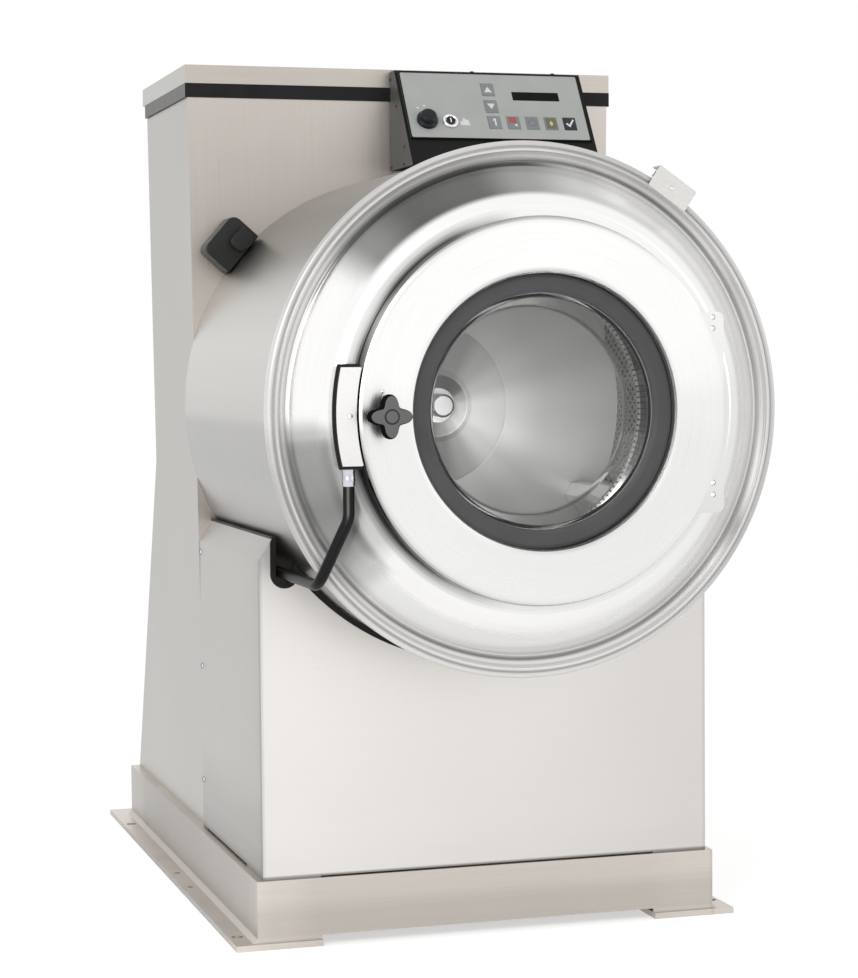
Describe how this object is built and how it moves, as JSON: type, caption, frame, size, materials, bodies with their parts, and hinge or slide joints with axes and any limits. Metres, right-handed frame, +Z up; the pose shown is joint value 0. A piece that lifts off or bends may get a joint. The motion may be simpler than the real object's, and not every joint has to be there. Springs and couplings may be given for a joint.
{
  "type": "commercial washing machine",
  "caption": "front-loading commercial washer with a round shell and door on an open cabinet, a tapered rear tower, a sloping control box and a rigid floor frame",
  "frame": {"origin": "centre of the four floor anchor holes, on the floor", "axes": "+X to the machine's right seen from its front (the door's hinge side), +Y to the rear, +Z up"},
  "size_m": [0.868, 1.582, 1.4773],
  "materials": {
    "base_paint": "satin warm grey paint",
    "frame_paint": "satin dark grey paint",
    "tower_sheet": "brushed stainless sheet",
    "black_strip": "matt black edging",
    "cabinet_sheet": "brushed stainless sheet",
    "screw_steel": "polished stainless",
    "black_rubber": "black rubber edging",
    "shell_sheet": "brushed stainless sheet",
    "head_sheet": "polished stainless",
    "black_conduit": "black sheathed conduit with a chrome ferrule",
    "hinge_steel": "machined stainless",
    "housing_iron": "painted casting",
    "motor_paint": "blue grey paint",
    "belt_rubber": "ribbed black belt",
    "control_black": "textured black",
    "control_grey": "satin grey overlay",
    "display_black": "dark window",
    "chute_black": "moulded black",
    "pipe_grey": "dark grey pipe",
    "valve_brass": "brass body",
    "drum_sheet": "perforated stainless sheet",
    "pulley_iron": "machined casting",
    "door_sheet": "polished stainless",
    "grey_rubber": "dark grey rubber",
    "door_glass": "clear glass bowl",
    "knob_black": "moulded dark grey",
    "switch_black": "satin black knob",
    "key_grey": "satin grey key",
    "key_dark": "satin dark key"
  },
  "bodies": {
    "cabinet": {"base_frame": "base_paint", "rear_frame": "frame_paint", "tower_casing": "tower_sheet", "tower_back_cover": "tower_sheet", "top_cap": "tower_sheet", "cap_strip": "black_strip", "front_panel": "cabinet_sheet", "side_panel_left": "cabinet_sheet", "side_panel_right": "cabinet_sheet", "cover_screws": "screw_steel", "cradle_trim": "black_rubber", "tub_shell": "shell_sheet", "shell_front": "head_sheet", "clamp_band": "head_sheet", "clamp_cover": "cabinet_sheet", "clamp_bolt": "screw_steel", "latch_box": "head_sheet", "latch_seal": "black_rubber", "conduit": "black_conduit", "hinge_bracket": "hinge_steel", "bearing_housing": "housing_iron", "shaft_bearings": "hinge_steel", "shaft_seal": "black_rubber", "motor_mount": "frame_paint", "motor_housing": "motor_paint", "drive_belt": "belt_rubber", "inverter_box": "motor_paint", "control_box": "control_black", "control_face": "control_grey", "display_window": "display_black", "chute_body": "chute_black", "drain_valve_body": "chute_black", "drain_pipe": "pipe_grey", "inlet_valves": "valve_brass"},
    "drum": {"drum_cylinder": "drum_sheet", "drum_ribs": "drum_sheet", "drum_back_plate": "drum_sheet", "drum_hub": "screw_steel", "drum_shaft": "hinge_steel", "drum_pulley": "pulley_iron"},
    "motor_rotor": {"motor_pulley": "pulley_iron"},
    "door": {"door_plate": "door_sheet", "door_gasket": "grey_rubber", "door_glass": "door_glass", "hinge_leaf": "hinge_steel", "hinge_screws": "screw_steel"},
    "knob": {"star_knob": "knob_black", "latch_dog": "hinge_steel"},
    "plunger": {"lock_plunger": "hinge_steel"},
    "chute_door": {"chute_lid": "chute_black"},
    "switch_knob": {"master_switch": "switch_black"},
    "lock_cylinder": {"key_switch": "screw_steel"},
    "drain_flap": {"drain_disc": "hinge_steel"},
    "key_up_cap": {"key_up": "key_grey"},
    "key_down_cap": {"key_down": "key_grey"},
    "key_1_cap": {"key_1": "key_grey"},
    "key_2_cap": {"key_2": "key_grey"},
    "key_3_cap": {"key_3": "key_grey"},
    "key_4_cap": {"key_4": "key_grey"},
    "key_5_cap": {"key_5": "key_dark"}
  },
  "joints": [
    {"name": "drum_spin", "type": "hinge", "parent": "cabinet", "child": "drum", "pos_m": [0, 0.027, 0.87], "axis": [0, 1, 0], "continuous": true},
    {"name": "motor_spin", "type": "hinge", "parent": "cabinet", "child": "motor_rotor", "pos_m": [0, 0.127, 0.31], "axis": [0, 1, 0], "continuous": true},
    {"name": "door_swing", "type": "hinge", "parent": "cabinet", "child": "door", "pos_m": [0.286, -0.845, 0.87], "axis": [0, 0, 1], "range_deg": [0, 110]},
    {"name": "knob_turn", "type": "hinge", "parent": "door", "child": "knob", "pos_m": [-0.259, -0.873, 0.867], "axis": [0, -1, 0], "range_deg": [0, 90]},
    {"name": "plunger_slide", "type": "slide", "parent": "cabinet", "child": "plunger", "axis": [0, 0, -1], "range_m": [0, 0.012]},
    {"name": "chute_open", "type": "hinge", "parent": "cabinet", "child": "chute_door", "pos_m": [-0.35879, -0.1183, 1.18189], "axis": [-0.6561, 0, -0.7547], "range_deg": [0, 100]},
    {"name": "switch_turn", "type": "hinge", "parent": "cabinet", "child": "switch_knob", "pos_m": [0.0178, -0.17578, 1.37827], "axis": [0, -0.8387, 0.5446], "range_deg": [-45, 45]},
    {"name": "key_turn", "type": "hinge", "parent": "cabinet", "child": "lock_cylinder", "pos_m": [0.061, -0.17676, 1.37676], "axis": [0, -0.8387, 0.5446], "range_deg": [0, 90]},
    {"name": "drain_turn", "type": "hinge", "parent": "cabinet", "child": "drain_flap", "pos_m": [0, -0.213, 0.3854], "axis": [1, 0, 0], "range_deg": [0, 90]},
    {"name": "key_up_press", "type": "slide", "parent": "cabinet", "child": "key_up_cap", "axis": [0, 0.8387, -0.5446], "range_m": [0, 0.0008], "stiffness_N_per_m": 300, "springref_m": -0.002},
    {"name": "key_down_press", "type": "slide", "parent": "cabinet", "child": "key_down_cap", "axis": [0, 0.8387, -0.5446], "range_m": [0, 0.0008], "stiffness_N_per_m": 300, "springref_m": -0.002},
    {"name": "key_1_press", "type": "slide", "parent": "cabinet", "child": "key_1_cap", "axis": [0, 0.8387, -0.5446], "range_m": [0, 0.0008], "stiffness_N_per_m": 300, "springref_m": -0.002},
    {"name": "key_2_press", "type": "slide", "parent": "cabinet", "child": "key_2_cap", "axis": [0, 0.8387, -0.5446], "range_m": [0, 0.0008], "stiffness_N_per_m": 300, "springref_m": -0.002},
    {"name": "key_3_press", "type": "slide", "parent": "cabinet", "child": "key_3_cap", "axis": [0, 0.8387, -0.5446], "range_m": [0, 0.0008], "stiffness_N_per_m": 300, "springref_m": -0.002},
    {"name": "key_4_press", "type": "slide", "parent": "cabinet", "child": "key_4_cap", "axis": [0, 0.8387, -0.5446], "range_m": [0, 0.0008], "stiffness_N_per_m": 300, "springref_m": -0.002},
    {"name": "key_5_press", "type": "slide", "parent": "cabinet", "child": "key_5_cap", "axis": [0, 0.8387, -0.5446], "range_m": [0, 0.0008], "stiffness_N_per_m": 300, "springref_m": -0.002}
  ],
  "couplings": [
    {"joint": "motor_spin", "follows": "drum_spin", "ratio": 4.7}
  ]
}
